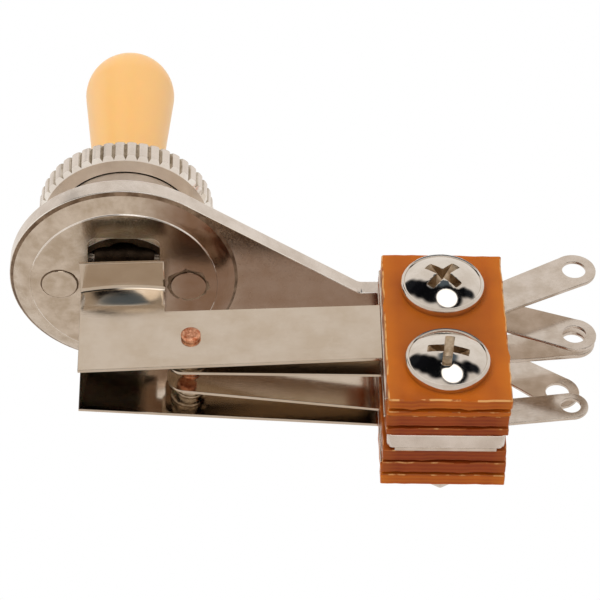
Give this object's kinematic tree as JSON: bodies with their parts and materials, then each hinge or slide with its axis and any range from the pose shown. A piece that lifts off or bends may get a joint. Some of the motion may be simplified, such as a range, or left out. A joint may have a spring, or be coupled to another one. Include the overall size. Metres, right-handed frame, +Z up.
{
  "type": "guitar pickup selector switch",
  "caption": "Right-angle three-way toggle switch: knob-tipped lever in a threaded bushing, L-shaped metal frame, long contact leaves and a phenolic terminal stack.",
  "frame": {"origin": "on the lever's axis at the mounting nut's upper face, where the free thread begins", "axes": "+Z up the bushing and lever towards the tip, +X along the frame's arm towards the solder lugs, -Y the side of the screw heads"},
  "size_m": [0.0602, 0.0236, 0.0572],
  "materials": {
    "frame_nickel": "nickel plated, lightly brushed",
    "cap_nickel": "nickel plated, polished face",
    "bushing_nickel": "bright nickel plate",
    "nut_nickel": "bright nickel plate, knurled",
    "lever_steel": "turned steel",
    "tip_plastic": "moulded amber plastic, glossy",
    "cam_nylon": "moulded nylon",
    "leaf_nickel": "nickel silver strip, rolled finish",
    "lug_nickel": "nickel silver strip, rolled finish",
    "contact_copper": "bare copper, riveted",
    "phenolic": "laminated phenolic board",
    "sleeve_plastic": "insulating tube",
    "screw_nickel": "bright nickel plate"
  },
  "bodies": {
    "base": {"frame": "frame_nickel", "base_cap": "cap_nickel", "cap_rivets": "cap_nickel", "bushing": "bushing_nickel", "mounting_nut": "nut_nickel", "pivot_pin": "lever_steel", "front_long_lug": "lug_nickel", "front_short_lug": "lug_nickel", "rear_short_lug": "lug_nickel", "rear_long_lug": "lug_nickel", "ground_lug": "lug_nickel", "insulator_1": "phenolic", "insulator_2": "phenolic", "insulator_3": "phenolic", "insulator_4": "phenolic", "insulator_5": "phenolic", "insulator_6": "phenolic", "insulator_7": "phenolic", "screw_sleeves": "sleeve_plastic", "stack_screws": "screw_nickel", "stack_nuts": "screw_nickel"},
    "toggle": {"lever": "lever_steel", "lever_tip": "tip_plastic", "cam": "cam_nylon"},
    "front_long_spring": {"front_long_leaf": "leaf_nickel", "front_long_contact": "contact_copper"},
    "front_short_spring": {"front_short_leaf": "leaf_nickel", "front_short_contact": "contact_copper"},
    "rear_short_spring": {"rear_short_leaf": "leaf_nickel", "rear_short_contact": "contact_copper"},
    "rear_long_spring": {"rear_long_leaf": "leaf_nickel", "rear_long_contact": "contact_copper"}
  },
  "joints": [
    {"name": "lever_tilt", "type": "hinge", "parent": "base", "child": "toggle", "pos_m": [0, 0, -0.0075], "axis": [1, 0, 0], "range_deg": [-10, 10]},
    {"name": "front_long_flex", "type": "hinge", "parent": "base", "child": "front_long_spring", "pos_m": [0.02605, -0.0043, -0.02313], "axis": [0, 0, 1], "range_deg": [-2.5, 2.5]},
    {"name": "front_short_flex", "type": "hinge", "parent": "base", "child": "front_short_spring", "pos_m": [0.02605, -0.00195, -0.02313], "axis": [0, 0, 1], "range_deg": [-2.15, 2.15]},
    {"name": "rear_short_flex", "type": "hinge", "parent": "base", "child": "rear_short_spring", "pos_m": [0.02605, 0.0029, -0.02313], "axis": [0, 0, 1], "range_deg": [-2.15, 2.15]},
    {"name": "rear_long_flex", "type": "hinge", "parent": "base", "child": "rear_long_spring", "pos_m": [0.02605, 0.00465, -0.02313], "axis": [0, 0, 1], "range_deg": [-2.5, 2.5]}
  ],
  "couplings": [
    {"joint": "front_long_flex", "follows": "lever_tilt", "ratio": -0.25},
    {"joint": "front_short_flex", "follows": "lever_tilt", "ratio": -0.215},
    {"joint": "rear_short_flex", "follows": "lever_tilt", "ratio": -0.215},
    {"joint": "rear_long_flex", "follows": "lever_tilt", "ratio": -0.25}
  ]
}
